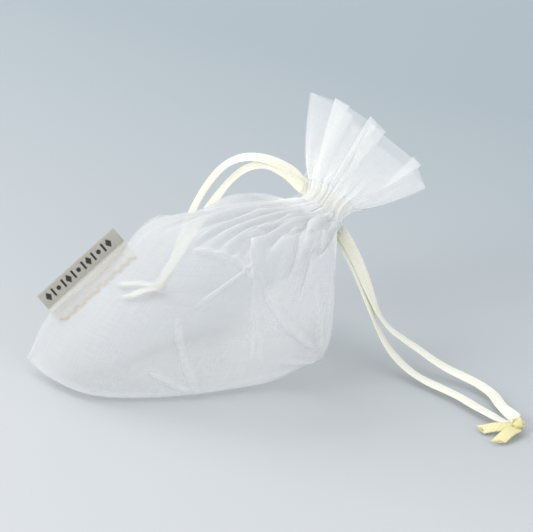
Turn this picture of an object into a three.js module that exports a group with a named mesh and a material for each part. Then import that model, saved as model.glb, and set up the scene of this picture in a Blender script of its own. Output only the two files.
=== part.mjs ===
// Drawstring gift pouch of sheer organza, cinched shut and lying on a table with its mouth raised.
// Millimetres, +Z up, the table is Z = 0, +X runs along the bottom seam, +Y points away from the front panel.
import * as THREE from 'three';

// Driving dimensions
const WALL = 0.8; // thickness given to every sheet of organza
const SEAM_RADIUS = 0.6; // rolled side and bottom seams
const NECK_RADIUS = 6.4; // outside of the gathered neck
const CASING_LENGTH = 8.4; // drawstring channel, measured along the neck
const CASING_WALL = 0.9;
const RUFFLE_LENGTH = 33; // from the drawstring to the free top edge
const RUFFLE_SPREAD = THREE.MathUtils.degToRad(43); // half the angle of the fanned ruffle
const RUFFLE_DEPTH = 8.5; // front-to-back half depth of the ruffle at its free edge
const RUFFLE_CLEARANCE = 3.2; // the ruffle tips about the neck, so it stays clear of the casing
const RUFFLE_EDGE = 0.86; // share of a half turn that each half of the ruffle covers
const STITCH_RADIUS = 7.4; // inside of the two rows of stitches round the neck
const RIBBON_RADIUS = 0.7; // round stand-in for a ribbon 3.5 mm wide
const RIBBON_WIDTH = 3.2; // axial height of each ribbon loop inside the casing
const TAPE_THICKNESS = 0.7; // folded label tape
const FRAME_SHIFT = new THREE.Vector3(25.85, -23.67, 0); // moves the corner-based layout to the frame's origin
const GAP = 0.3; // clearance between touching pieces

const vec = (x, y, z) => new THREE.Vector3(x, y, z);
const curveThrough = (points) => new THREE.CatmullRomCurve3(points, false, 'centripetal');

// Neck frame: the drawstring centre, the mouth direction, the side-to-side direction and the front normal
const NECK = vec(1.1, 45, 35.5);
const MOUTH = vec(0.51, 0.585, 0.63).normalize();
const SIDEWAYS = vec(0.77, -0.22, -0.6).projectOnPlane(MOUTH).normalize();
const FRONTWARD = new THREE.Vector3().crossVectors(SIDEWAYS, MOUTH).normalize();

function neckPoint(side, front, along) {
  return NECK.clone()
    .addScaledVector(SIDEWAYS, side)
    .addScaledVector(FRONTWARD, front)
    .addScaledVector(MOUTH, along);
}

// Body seams, from corner to corner
const BODY_TOP = -CASING_LENGTH / 2 - GAP; // where the panels end, just below the casing
const CORNER_LEFT = vec(-83.5, 7, 2.9);
const CORNER_RIGHT = vec(0, -4, 6.3);
const BOTTOM_CURVE = curveThrough([
  CORNER_LEFT,
  vec(-76, -8, 2.2),
  vec(-64, -20.5, 1.9),
  vec(-42, -21, 1.9),
  vec(-18, -13.5, 3),
  CORNER_RIGHT,
]);
const LEFT_CURVE = curveThrough([
  CORNER_LEFT,
  vec(-76.7, 12.3, 14.9),
  vec(-60.7, 19, 26),
  vec(-48, 24.4, 39),
  vec(-38, 29, 38),
  vec(-22, 36, 38),
  neckPoint(-NECK_RADIUS, 0, BODY_TOP),
]);
const RIGHT_CURVE = curveThrough([
  CORNER_RIGHT,
  vec(2.6, -12, 16.5),
  vec(3.6, -15, 29),
  vec(4, -9, 37.5),
  vec(4.4, 4, 40.5),
  vec(4.6, 20, 39.5),
  neckPoint(NECK_RADIUS, 0, BODY_TOP),
]);
const FRONT_SWELL = vec(0, -4, 3);
const BACK_SWELL = vec(2, 44, -31);
const FRONT_FULLNESS = 0.7; // the lower it is, the squarer the swell is from side to side
const BACK_FULLNESS = 0.8;
const UP_FULLNESS = 0.8; // the same from the bottom seam to the gathers
const BACK_BILLOW = vec(-2, 8, 15); // lifts the back above the left seam, just below the gathers
const BILLOW_CENTRE = [0.22, 0.8]; // as shares of the way across and up the panel
const BILLOW_REACH = [0.2, 0.17];
const BILLOW_ONSET = 8; // how quickly the billow grows from the left seam and from the gathers
const SEAM_END = 0.86; // the side seams run this share of the way into the gathers
const CORNER_SETBACK = 0.02; // where the bottom seam starts and ends, as a share of its length
const BOTTOM_HEM = 0.05; // the same above the bottom seam, as a share of the height
const HEM = 0.03; // how far a panel's edge stays from its seam, as a share of the width
const RIGHT_INSET = 1.2; // the panels stay this much inside the right seam
const RIGHT_INSET_FADE = 6; // and the inset fades this quickly away from it
const LIFT_FADE = 10; // how late the space between the two panels closes at the neck
const HALF_RING_START = THREE.MathUtils.degToRad(20);

// Ribbon routes, from the casing to the knots
const RIGHT_A = [
  vec(8.6, 42.6, 32.6), vec(9.6, 36, 33.2), vec(10.6, 29, 31.6), vec(12.4, 22, 26.6), vec(14.8, 15.6, 20.4),
  vec(17.6, 12.8, 15.6), vec(20.8, 10.9, 11.5), vec(24.2, 8.6, 8.4), vec(28, 5.4, 6), vec(32, 1.4, 4.4),
  vec(36.2, -3, 3.3), vec(40.8, -7.6, 2.6), vec(45.2, -13, 2.1), vec(48.6, -20, 1.9), vec(50.6, -28, 1.9),
  vec(53.2, -36, 2.1), vec(55.3, -42.6, 2.7),
];
const RIGHT_B = [
  vec(5.9, 40.6, 28.9), vec(7.4, 34, 30), vec(8.8, 27, 28.4), vec(10.6, 20, 23.6), vec(13, 13.2, 17.6),
  vec(15, 9.6, 13.4), vec(17.2, 7.2, 9.6), vec(19.6, 4.4, 6.4), vec(22.6, 1, 3.9), vec(26, -3.6, 2.4),
  vec(30.4, -9.8, 1.9), vec(35, -15.8, 1.8), vec(39.4, -22, 1.8), vec(43.4, -29, 1.8), vec(47.2, -35.4, 1.9),
  vec(50.6, -41, 2), vec(53, -44.1, 2.4),
];
const LEFT_A = [
  vec(-5.4, 48.4, 41.6), vec(-8, 49.4, 44.6), vec(-11, 50.2, 46.8), vec(-15, 51.4, 48), vec(-19.7, 53, 48.6),
  vec(-23.6, 54.4, 48), vec(-27.4, 56, 46), vec(-31, 57.8, 42.6), vec(-34.2, 59.4, 38.2), vec(-37, 61, 32.8),
  vec(-39.2, 62.2, 27), vec(-41, 63.4, 21), vec(-42.6, 64.6, 14.8), vec(-43.8, 65.8, 9),
  vec(-44.4, 66.8, 5.4),
];
const LEFT_B = [
  vec(-5.8, 45.2, 39.8), vec(-9, 46.6, 42), vec(-12.6, 48, 44), vec(-16.4, 49.6, 45.2), vec(-20.6, 51, 45),
  vec(-24.8, 52.2, 42.8), vec(-28.6, 53.6, 39), vec(-32, 55, 34.4), vec(-35, 56.2, 29.4),
  vec(-38, 57.4, 24.2),
  vec(-41.2, 58.8, 19), vec(-44, 60.4, 13.6), vec(-45.8, 62.6, 9), vec(-46.4, 66.2, 4.8),
];
const RIGHT_KNOT = vec(55.4, -45.6, 2.7);
const LEFT_KNOT = vec(-45.6, 68.8, 2.9);
const KNOT_RADIUS = 2.6;
const TAIL_WIDTH = 3.4;
const TAIL_THICKNESS = 0.7;

// Label tape on the left seam: the visible fold outside the seam and the sewn half inside it
const LABEL_FLAP_WIDTH = 5;
const LABEL_FLAP_START = 1.5; // all three are distances from the seam's line
const LABEL_INNER_START = 2.6;
const LABEL_STITCH_START = 4.4;
const LABEL_INNER_WIDTH = 3.2;
const LABEL_STITCH_WIDTH = 0.5;
const LABEL_STITCH_THICKNESS = 0.3;
const LABEL_SEAM_START = vec(-76.7, 12.3, 14.9);
const LABEL_SEAM_END = vec(-55.2, 21.4, 32.2);
const LABEL_OUTWARD = vec(-0.5, 0.1, 0.86);

const material = (color, roughness) => new THREE.MeshStandardMaterial({
  color,
  roughness,
  metalness: 0,
  side: THREE.DoubleSide,
});
const ORGANZA = 0xf1f4f6;
const SATIN = 0xf3edc4;
const TAPE = 0xb9b5a2;
const THREAD = 0xc79a4b;
const CLOTH_ROUGHNESS = 0.6;
const SEAM_ROUGHNESS = 0.5;
const SATIN_ROUGHNESS = 0.35;
const KNOT_ROUGHNESS = 0.4;
const TAPE_ROUGHNESS = 0.8;
const THREAD_ROUGHNESS = 0.7;

const pouch = new THREE.Group();

function addPiece(name, geometry, color, roughness) {
  const mesh = new THREE.Mesh(geometry, material(color, roughness));
  mesh.name = name;
  pouch.add(mesh);
  return mesh;
}

const SLOPE_STEP = 1e-3; // step for the sheet's slopes, as a share of its width or height

// A closed sheet of even thickness. skin(s, t) is its outer face and outward is +1 or -1 for ds x dt.
function sheetSolid(skin, outward, acrossSteps, upSteps, thickness) {
  const outer = [];
  const inner = [];
  for (let j = 0; j <= upSteps; j++) {
    for (let i = 0; i <= acrossSteps; i++) {
      const s = i / acrossSteps;
      const t = j / upSteps;
      const here = skin(s, t);
      const ds = skin(Math.min(s + SLOPE_STEP, 1), t).sub(skin(Math.max(s - SLOPE_STEP, 0), t));
      const dt = skin(s, Math.min(t + SLOPE_STEP, 1)).sub(skin(s, Math.max(t - SLOPE_STEP, 0)));
      const normal = ds.cross(dt).normalize().multiplyScalar(outward);
      outer.push(here);
      inner.push(here.clone().addScaledVector(normal, -thickness));
    }
  }
  const row = acrossSteps + 1;
  const layer = outer.length;
  const index = [];
  const quad = (a, b, c, d) => {
    if (outward > 0) {
      index.push(a, b, c, a, c, d);
    } else {
      index.push(a, c, b, a, d, c);
    }
  };
  for (let j = 0; j < upSteps; j++) {
    for (let i = 0; i < acrossSteps; i++) {
      const a = j * row + i;
      quad(a, a + 1, a + row + 1, a + row);
      quad(layer + a, layer + a + row, layer + a + row + 1, layer + a + 1);
    }
  }
  for (let i = 0; i < acrossSteps; i++) {
    const low = i;
    const high = upSteps * row + i;
    quad(low, layer + low, layer + low + 1, low + 1);
    quad(high, high + 1, layer + high + 1, layer + high);
  }
  for (let j = 0; j < upSteps; j++) {
    const left = j * row;
    const right = left + acrossSteps;
    quad(left, left + row, layer + left + row, layer + left);
    quad(right, layer + right, layer + right + row, right + row);
  }
  const geometry = new THREE.BufferGeometry();
  geometry.setAttribute('position', new THREE.Float32BufferAttribute(
    [...outer, ...inner].flatMap((p) => [p.x, p.y, p.z]), 3));
  geometry.setIndex(index);
  geometry.computeVertexNormals();
  return geometry;
}

// A round tube along a curve
function tube(curve, radius, sides, steps) {
  const section = new THREE.Shape();
  for (let i = 0; i < sides; i++) {
    const angle = 2 * Math.PI * i / sides;
    const x = radius * Math.cos(angle);
    const y = radius * Math.sin(angle);
    if (i === 0) {
      section.moveTo(x, y);
    } else {
      section.lineTo(x, y);
    }
  }
  section.closePath();
  return new THREE.ExtrudeGeometry(section, { steps, bevelEnabled: false, extrudePath: curve });
}

// The piece of a curve between two shares of its length
function stretch(curve, from, to, count) {
  const points = [];
  for (let i = 0; i <= count; i++) {
    points.push(curve.getPointAt(from + (to - from) * i / count));
  }
  return curveThrough(points);
}

// Half of the gathered ring at the top of the body
function bodyRing(s, front) {
  const angle = HALF_RING_START + s * (Math.PI - 2 * HALF_RING_START);
  return neckPoint(-NECK_RADIUS * Math.cos(angle), front * NECK_RADIUS * Math.sin(angle), BODY_TOP);
}

// How much of the back's billow there is at a place on the panel
function billow(s, t) {
  const across = ((s - BILLOW_CENTRE[0]) / BILLOW_REACH[0]) ** 2;
  const up = ((t - BILLOW_CENTRE[1]) / BILLOW_REACH[1]) ** 2;
  return Math.exp(-across - up) * Math.min(s * BILLOW_ONSET, 1) * Math.min((1 - t) * BILLOW_ONSET, 1);
}

// Patch stretched between the bottom seam, the two side seams and the neck, then swollen outwards
function panelSkin(front, swell, fullness) {
  const leftTop = LEFT_CURVE.getPointAt(1);
  const rightTop = RIGHT_CURVE.getPointAt(1);
  const lift = swell.clone().normalize().multiplyScalar(SEAM_RADIUS + GAP + WALL);
  return (rawS, rawT) => {
    const s = HEM + rawS * (1 - 2 * HEM);
    const t = BOTTOM_HEM + rawT * (1 - BOTTOM_HEM);
    const p = vec(0, 0, 0)
      .addScaledVector(LEFT_CURVE.getPointAt(t), 1 - s)
      .addScaledVector(RIGHT_CURVE.getPointAt(t), s)
      .addScaledVector(BOTTOM_CURVE.getPointAt(s), 1 - t)
      .addScaledVector(bodyRing(s, front), t)
      .addScaledVector(CORNER_LEFT, -(1 - s) * (1 - t))
      .addScaledVector(CORNER_RIGHT, -s * (1 - t))
      .addScaledVector(leftTop, -(1 - s) * t)
      .addScaledVector(rightTop, -s * t);
    const amount = Math.sin(Math.PI * s) ** fullness * Math.sin(Math.PI * t) ** UP_FULLNESS;
    p.addScaledVector(swell, amount);
    if (front < 0) {
      p.addScaledVector(BACK_BILLOW, billow(s, t));
    }
    p.addScaledVector(lift, 1 - t ** LIFT_FADE);
    p.x -= RIGHT_INSET * s ** RIGHT_INSET_FADE;
    p.z = Math.max(p.z, 0);
    return p;
  };
}

// Ruffle above the casing: a flat cone that fans out sideways
function ruffleSkin(front) {
  const start = CASING_LENGTH / 2 + RUFFLE_CLEARANCE;
  const edge = RUFFLE_EDGE;
  return (s, t) => {
    const angle = edge * (2 * s - 1) * Math.PI / 2;
    const fan = edge * (2 * s - 1) * RUFFLE_SPREAD;
    const base = neckPoint(NECK_RADIUS * Math.sin(angle), front * NECK_RADIUS * Math.cos(angle), start);
    const top = neckPoint(
      RUFFLE_LENGTH * Math.sin(fan),
      front * RUFFLE_DEPTH * Math.cos(angle),
      RUFFLE_LENGTH * Math.cos(fan),
    );
    return base.lerp(top, t);
  };
}

// A ring or part of a ring about the neck, drawn in the neck's own frame and extruded along it
function neckRing(innerRadius, outerRadius, fromAngle, toAngle, along, height, segments) {
  const shape = new THREE.Shape();
  shape.absarc(0, 0, outerRadius, fromAngle, toAngle, false);
  shape.absarc(0, 0, innerRadius, toAngle, fromAngle, true);
  shape.closePath();
  const geometry = new THREE.ExtrudeGeometry(shape, {
    depth: height,
    bevelEnabled: false,
    curveSegments: segments,
  });
  const turn = new THREE.Matrix4().makeBasis(SIDEWAYS, FRONTWARD.clone().negate(), MOUTH);
  geometry.applyMatrix4(turn);
  const seat = neckPoint(0, 0, along);
  geometry.translate(seat.x, seat.y, seat.z);
  return geometry;
}

// A flat plate with one edge on a line: it runs from start to end and outwards by width
function plate(start, end, outward, from, width, thickness, lift = 0) {
  const run = end.clone().sub(start);
  const length = run.length();
  const x = run.normalize();
  const y = outward.clone().projectOnPlane(x).normalize();
  const z = new THREE.Vector3().crossVectors(x, y);
  const geometry = new THREE.BoxGeometry(length, width, thickness);
  geometry.applyMatrix4(new THREE.Matrix4().makeBasis(x, y, z));
  const middle = start.clone().add(end).multiplyScalar(0.5).addScaledVector(y, from + width / 2);
  middle.addScaledVector(z, lift);
  geometry.translate(middle.x, middle.y, middle.z);
  return geometry;
}

// Body
const ACROSS = 20;
const UP = 18;
const SEAM_POINTS = 16;
const SEAM_SIDES = 6;
const SEAM_STEPS = 30;
const frontSkin = panelSkin(1, FRONT_SWELL, FRONT_FULLNESS);
const backSkin = panelSkin(-1, BACK_SWELL, BACK_FULLNESS);
addPiece('front_panel', sheetSolid(frontSkin, 1, ACROSS, UP, WALL), ORGANZA, CLOTH_ROUGHNESS);
addPiece('back_panel', sheetSolid(backSkin, -1, ACROSS, UP, WALL), ORGANZA, CLOTH_ROUGHNESS);
for (const [name, curve, from, to] of [
  ['bottom_seam', BOTTOM_CURVE, CORNER_SETBACK, 1 - CORNER_SETBACK],
  ['left_side_seam', LEFT_CURVE, 0, SEAM_END],
  ['right_side_seam', RIGHT_CURVE, 0, SEAM_END],
]) {
  const line = stretch(curve, from, to, SEAM_POINTS);
  addPiece(name, tube(line, SEAM_RADIUS, SEAM_SIDES, SEAM_STEPS), ORGANZA, SEAM_ROUGHNESS);
}

// Drawstring channel, open at both side seams where the ribbons leave
const MOUTH_SLOT = THREE.MathUtils.degToRad(24);
const CASING_RADIUS = NECK_RADIUS + 0.6; // the channel stands a little proud of the gathers
const CASING_SEGMENTS = 9;
for (const [name, start] of [['back_casing', 0], ['front_casing', Math.PI]]) {
  const ring = neckRing(CASING_RADIUS - CASING_WALL, CASING_RADIUS, start + MOUTH_SLOT,
    start + Math.PI - MOUTH_SLOT, -CASING_LENGTH / 2, CASING_LENGTH, CASING_SEGMENTS);
  addPiece(name, ring, ORGANZA, CLOTH_ROUGHNESS);
}

// Two rows of stitching close the channel above and below the ribbons
const STITCH_SIZE = 0.5;
const STITCH_INSET = 0.3; // from the channel's edge
const STITCH_GAP = THREE.MathUtils.degToRad(2);
const RING_SEGMENTS = 24;
for (const [name, along] of [
  ['casing_stitch_lower', -CASING_LENGTH / 2 + STITCH_INSET],
  ['casing_stitch_upper', CASING_LENGTH / 2 - STITCH_INSET - STITCH_SIZE],
]) {
  addPiece(name, neckRing(STITCH_RADIUS, STITCH_RADIUS + STITCH_SIZE, STITCH_GAP, 2 * Math.PI - STITCH_GAP,
    along, STITCH_SIZE, RING_SEGMENTS), ORGANZA, SEAM_ROUGHNESS);
}

// Ruffle
const RUFFLE_ACROSS = 14;
const RUFFLE_UP = 6;
for (const [name, front] of [['front_ruffle', 1], ['back_ruffle', -1]]) {
  const skin = ruffleSkin(front);
  addPiece(name, sheetSolid(skin, front, RUFFLE_ACROSS, RUFFLE_UP, WALL), ORGANZA, CLOTH_ROUGHNESS);
}
const RUFFLE_SEAM_RADIUS = 0.5;
const RUFFLE_SEAM_STEPS = 4;
for (const [name, side] of [['ruffle_left_seam', -1], ['ruffle_right_seam', 1]]) {
  const low = neckPoint(side * NECK_RADIUS, 0, CASING_LENGTH / 2 + RUFFLE_CLEARANCE);
  const high = neckPoint(side * RUFFLE_LENGTH * Math.sin(RUFFLE_SPREAD), 0,
    RUFFLE_LENGTH * Math.cos(RUFFLE_SPREAD));
  addPiece(name, tube(new THREE.LineCurve3(low, high), RUFFLE_SEAM_RADIUS, SEAM_SIDES, RUFFLE_SEAM_STEPS),
    ORGANZA, SEAM_ROUGHNESS);
}

// Ribbons: one loops round the neck and leaves on the right, the other leaves on the left
const LOOP_INNER = 4.7;
const LOOP_OUTER = 5.4;
const LOOP_OPENING = THREE.MathUtils.degToRad(16);
const RIBBON_SIDES = 8;
const RIBBON_STEPS = 20;
for (const [name, gapAngle, along] of [
  ['right_ribbon_loop', 0, -RIBBON_WIDTH - GAP],
  ['left_ribbon_loop', Math.PI, GAP],
]) {
  const from = gapAngle + LOOP_OPENING;
  const to = gapAngle + 2 * Math.PI - LOOP_OPENING;
  addPiece(name, neckRing(LOOP_INNER, LOOP_OUTER, from, to, along, RIBBON_WIDTH, RING_SEGMENTS),
    SATIN, SATIN_ROUGHNESS);
}
for (const [name, route] of [
  ['right_ribbon_strand_a', RIGHT_A],
  ['right_ribbon_strand_b', RIGHT_B],
  ['left_ribbon_strand_a', LEFT_A],
  ['left_ribbon_strand_b', LEFT_B],
]) {
  const strand = tube(curveThrough(route), RIBBON_RADIUS, RIBBON_SIDES, RIBBON_STEPS);
  addPiece(name, strand, SATIN, SATIN_ROUGHNESS);
}
const KNOT_SEGMENTS = 12;
const KNOT_RINGS = 8;
for (const [name, centre] of [['right_knot', RIGHT_KNOT], ['left_knot', LEFT_KNOT]]) {
  addPiece(name, new THREE.SphereGeometry(KNOT_RADIUS, KNOT_SEGMENTS, KNOT_RINGS), SATIN, KNOT_ROUGHNESS)
    .position.copy(centre);
}
for (const [name, start, end] of [
  ['right_tail_a', vec(51.8, -46.6, 1.1), vec(44.6, -46, 0.9)],
  ['right_tail_b', vec(54.6, -48.6, 1.6), vec(49.5, -56, 1)],
  ['left_tail_a', vec(-48.6, 70.9, 1.6), vec(-58, 73.8, 1)],
  ['left_tail_b', vec(-48.4, 66.9, 1.6), vec(-55.6, 62.5, 1)],
]) {
  const across = new THREE.Vector3().crossVectors(end.clone().sub(start), vec(0, 0, 1));
  const tail = plate(start, end, across, -TAIL_WIDTH / 2, TAIL_WIDTH, TAIL_THICKNESS);
  addPiece(name, tail, SATIN, KNOT_ROUGHNESS);
}

// Label
const labelPlate = (from, width, thickness, lift) => plate(
  LABEL_SEAM_START, LABEL_SEAM_END, LABEL_OUTWARD, from, width, thickness, lift);
addPiece('label_flap', labelPlate(LABEL_FLAP_START, LABEL_FLAP_WIDTH, TAPE_THICKNESS), TAPE, TAPE_ROUGHNESS);
addPiece('label_inner', labelPlate(-LABEL_INNER_START - LABEL_INNER_WIDTH, LABEL_INNER_WIDTH, TAPE_THICKNESS),
  TAPE, TAPE_ROUGHNESS);
addPiece('label_stitching', labelPlate(-LABEL_STITCH_START, LABEL_STITCH_WIDTH, LABEL_STITCH_THICKNESS,
  TAPE_THICKNESS / 2 + GAP + LABEL_STITCH_THICKNESS / 2), THREAD, THREAD_ROUGHNESS);

// The body is laid out from its right corner, and this sets the frame's origin under the middle of the pouch
pouch.position.copy(FRAME_SHIFT);

export default pouch;
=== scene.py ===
"""A sheer organza gift pouch with satin drawstrings, lying on a pale table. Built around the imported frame."""

import math

import bpy
import numpy as np
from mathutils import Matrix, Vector


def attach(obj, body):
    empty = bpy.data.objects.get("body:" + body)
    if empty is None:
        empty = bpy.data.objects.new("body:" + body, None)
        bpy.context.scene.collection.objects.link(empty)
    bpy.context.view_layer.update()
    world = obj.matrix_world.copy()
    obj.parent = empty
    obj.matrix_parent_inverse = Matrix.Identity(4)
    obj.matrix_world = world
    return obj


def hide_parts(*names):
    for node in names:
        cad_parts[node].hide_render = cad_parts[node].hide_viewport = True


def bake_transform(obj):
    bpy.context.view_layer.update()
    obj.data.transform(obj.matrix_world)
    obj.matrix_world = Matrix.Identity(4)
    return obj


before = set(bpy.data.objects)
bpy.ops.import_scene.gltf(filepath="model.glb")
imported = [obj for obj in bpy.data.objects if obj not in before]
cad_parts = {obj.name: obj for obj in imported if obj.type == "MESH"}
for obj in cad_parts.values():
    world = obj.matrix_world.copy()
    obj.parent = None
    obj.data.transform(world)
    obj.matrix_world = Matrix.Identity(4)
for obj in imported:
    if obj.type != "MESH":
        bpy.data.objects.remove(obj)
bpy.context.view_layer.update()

MM = 0.001
SHIFT = np.array([25.85, -23.67, 0.0])  # from the pouch's right corner to the frame's origin, in millimetres

# ---- camera
CAMERA_ELEVATION = math.radians(20)
CAMERA_DISTANCE = 6.0
CAMERA_TARGET = Vector((0.01035, 0.01303, 0.020))
FIELD_WIDTH = 0.152  # metres across the picture at the target
SENSOR_WIDTH = 36.0
FAR_CLIP = 20.0


def make_camera():
    data = bpy.data.cameras.new("camera")
    data.sensor_width = SENSOR_WIDTH
    data.lens = data.sensor_width * CAMERA_DISTANCE / FIELD_WIDTH
    data.clip_end = FAR_CLIP
    camera = bpy.data.objects.new("camera", data)
    bpy.context.scene.collection.objects.link(camera)
    back = Vector((0, -math.cos(CAMERA_ELEVATION), math.sin(CAMERA_ELEVATION)))
    camera.location = CAMERA_TARGET + back * CAMERA_DISTANCE
    camera.rotation_euler = (math.pi / 2 - CAMERA_ELEVATION, 0, 0)
    bpy.context.scene.camera = camera


make_camera()


# ---- small helpers
def place(points):
    """Millimetres from the pouch's right corner to metres in the frame."""
    return (np.asarray(points, float) + SHIFT) * MM


def unit(v):
    v = np.asarray(v, float)
    return v / np.maximum(np.linalg.norm(v, axis=-1, keepdims=True), 1e-12)


def run_along(path):
    """How far along a path each of its points is."""
    return np.concatenate([[0], np.cumsum(np.linalg.norm(np.diff(path, axis=0), axis=1))])


def sampled(at, run, values):
    """Rows of values read off at places along their run."""
    return np.stack([np.interp(at, run, values[:, c]) for c in range(values.shape[1])], axis=1)


SPLINE_STEPS = 24  # between two points, before the curve is sampled evenly


def spline(points, count):
    """A centripetal Catmull-Rom curve through the points, sampled evenly along its length."""
    p = np.asarray(points, float)
    p = np.vstack([2 * p[0] - p[1], p, 2 * p[-1] - p[-2]])
    knots = np.concatenate([[0], np.cumsum(np.linalg.norm(np.diff(p[:, :3], axis=0), axis=1) ** 0.5)])
    out = []
    for k in range(1, len(p) - 2):
        t0, t1, t2, t3 = knots[k - 1 : k + 3]
        t = np.linspace(t1, t2, SPLINE_STEPS, endpoint=False)[:, None]

        def between(a, b, ta, tb):
            return (tb - t) / (tb - ta) * a + (t - ta) / (tb - ta) * b

        a1 = between(p[k - 1], p[k], t0, t1)
        a2 = between(p[k], p[k + 1], t1, t2)
        a3 = between(p[k + 1], p[k + 2], t2, t3)
        out.append(between(between(a1, a2, t0, t2), between(a2, a3, t1, t3), t1, t2))
    out = np.vstack(out + [p[-2:-1]])
    run = run_along(out)
    return sampled(np.linspace(0, run[-1], count), run, out)


def mesh_object(name, vertices, faces, uv, material, smooth=True):
    """A mesh object from millimetres: vertices from the pouch's right corner, uv on the flat piece."""
    mesh = bpy.data.meshes.new(name)
    mesh.from_pydata([tuple(v) for v in place(vertices)], [], faces)
    mesh.update()
    mesh.polygons.foreach_set("use_smooth", [smooth] * len(mesh.polygons))
    index = np.empty(len(mesh.loops), np.int32)
    mesh.loops.foreach_get("vertex_index", index)
    layer = mesh.uv_layers.new(name="flat")
    layer.data.foreach_set("uv", (uv * MM).astype(np.float32)[index].ravel())
    mesh.materials.append(material)
    obj = bpy.data.objects.new(name, mesh)
    bpy.context.scene.collection.objects.link(obj)
    return obj


def joined(name, parts, material, smooth=True):
    """One mesh from several (vertices, faces, uv) parts."""
    faces, base = [], 0
    for vertices, part_faces, _ in parts:
        faces += [tuple(i + base for i in face) for face in part_faces]
        base += len(vertices)
    vertices, uv = (np.concatenate([part[k] for part in parts]) for k in (0, 2))
    return mesh_object(name, vertices, faces, uv, material, smooth)


def stands_for(obj, nodes, body=None):
    """obj is seen in place of CAD nodes and rides on a body."""
    if nodes:
        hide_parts(*nodes)
    if body:
        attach(obj, body)
    return obj


def swept_faces(n, k):
    """Faces of a closed section of k points swept through n places, with both ends shut."""
    faces = [
        (i * k + j, i * k + (j + 1) % k, (i + 1) * k + (j + 1) % k, (i + 1) * k + j)
        for i in range(n - 1)
        for j in range(k)
    ]
    return faces + [tuple(reversed(range(k))), tuple((n - 1) * k + j for j in range(k))]


def swept(centre, across, up, section):
    """Sweeps a closed section along a line. section holds (across, up) pairs in millimetres."""
    vertices = (
        centre[:, None, :]
        + across[:, None, :] * section[None, :, 0:1]
        + up[:, None, :] * section[None, :, 1:2]
    ).reshape(-1, 3)
    return vertices, swept_faces(len(centre), len(section))


def unrolled(run, around):
    """Flat (along, across) coordinates for a sweep: around holds those of its section."""
    return np.stack([np.repeat(run, len(around)), np.tile(around, len(run))], -1)


def square_to(v, tangent):
    """The direction of v once the part along a unit tangent is taken out."""
    return unit(v - tangent * (v * tangent).sum(-1, keepdims=True))


# ---- the pouch's layout, repeated from the CAD part
NECK = np.array([1.1, 45.0, 35.5])
MOUTH = unit([0.51, 0.585, 0.63])
ROUGHLY_SIDEWAYS = np.array([0.77, -0.22, -0.6])
SIDEWAYS = unit(ROUGHLY_SIDEWAYS - MOUTH * (ROUGHLY_SIDEWAYS @ MOUTH))
FRONTWARD = np.cross(SIDEWAYS, MOUTH)


def neck_point(side, front, along):
    """A point given about the middle of the drawstring's channel."""
    side, front, along = (np.asarray(v, float)[..., None] for v in (side, front, along))
    return NECK + side * SIDEWAYS + front * FRONTWARD + along * MOUTH


CURVE_POINTS = 240
BOTTOM_CURVE = spline(
    [(-83.5, 7, 2.9), (-76, -8, 2.2), (-64, -20.5, 1.9), (-42, -21, 1.9), (-18, -13.5, 3), (0, -4, 6.3)],
    CURVE_POINTS,
)
LEFT_CURVE = spline(
    [
        (-83.5, 7, 2.9), (-76.7, 12.3, 14.9), (-60.7, 19, 26), (-48, 24.4, 39), (-38, 29, 38), (-22, 36, 38),
        neck_point(-7.6, 0, -4.2),
    ],
    CURVE_POINTS,
)
RIGHT_CURVE = spline(
    [
        (0, -4, 6.3), (2.6, -12, 16.5), (3.6, -15, 29), (4, -9, 37.5), (4.4, 4, 40.5), (4.6, 20, 39.5),
        neck_point(7.6, 0, -4.2),
    ],
    CURVE_POINTS,
)


def curve_at(curve, t):
    """Points on a sampled curve at shares of its length."""
    t = np.clip(np.asarray(t, float), 0, 1) * (len(curve) - 1)
    low = np.minimum(t.astype(int), len(curve) - 2)
    share = (t - low)[..., None]
    return curve[low] * (1 - share) + curve[low + 1] * share


# ---- cloth
FLAT_WIDTH = 104.0  # millimetres, side seam to side seam
GATHER_HEIGHT = 102.0  # bottom seam to drawstring
CLOTH_HEIGHT = 134.0  # bottom seam to the free top edge
CASING_HALF = 4.2
BODY_TOP = GATHER_HEIGHT - CASING_HALF
COLUMNS = 160
ROWS = 103
PLEATS = 10  # in each half of the neck
RUFFLE_FOLDS = 5  # in each half of the ruffle's edge
GATHER_RADIUS = 7.6  # middle of the pleats where the body and the ruffle begin
FRONT_SWELL = np.array([0, -4, 3.0])
BACK_SWELL = np.array([2, 44, -31.0])
BACK_BILLOW = np.array([-2, 8, 15.0])  # lifts the back above the left seam, below the gathers

# the ruffle's free edge, fold by fold: (share across, sideways, depth, along) about the drawstring's middle
FRONT_EDGE = np.array([
    (0.00, -20.7, 0.0, 26.2), (0.13, -9.0, 2.0, 28.6), (0.19, -14.4, 3.6, 27.6), (0.37, 0.4, 4.6, 27.0),
    (0.42, -3.4, 6.0, 28.2), (0.50, 3.2, 6.4, 26.4), (0.57, -2.4, 7.4, 25.4), (0.80, 17.0, 4.0, 24.8),
    (0.84, 13.6, 3.0, 26.2), (1.00, 21.6, 0.0, 21.2),
])
BACK_EDGE = np.array([
    (0.00, -20.7, 0.0, 26.2), (0.18, -6.4, -3.0, 28.8), (0.24, -11.5, -4.4, 28.2), (0.38, 0.6, -4.4, 27.2),
    (0.46, -5.4, -5.8, 26.8), (0.56, 2.4, -5.0, 26.6), (0.62, -1.6, -6.0, 26.6), (0.84, 17.2, -3.0, 24.4),
    (0.88, 14.2, -3.8, 25.2), (1.00, 21.6, 0.0, 21.2),
])
GATHER_FLATNESS = 0.8  # the gathers are wider than they are deep
PLEAT_DEPTH = 1.1  # half the height of the neck's pleats
NECK_MIDDLE = 5.9  # middle of the pleats at the drawstring
WAIST_POWER = 1.6  # how sharply the neck narrows at the drawstring
FRONT_FULLNESS, BACK_FULLNESS, RISE_FULLNESS = 0.7, 0.8, 0.8
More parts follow.
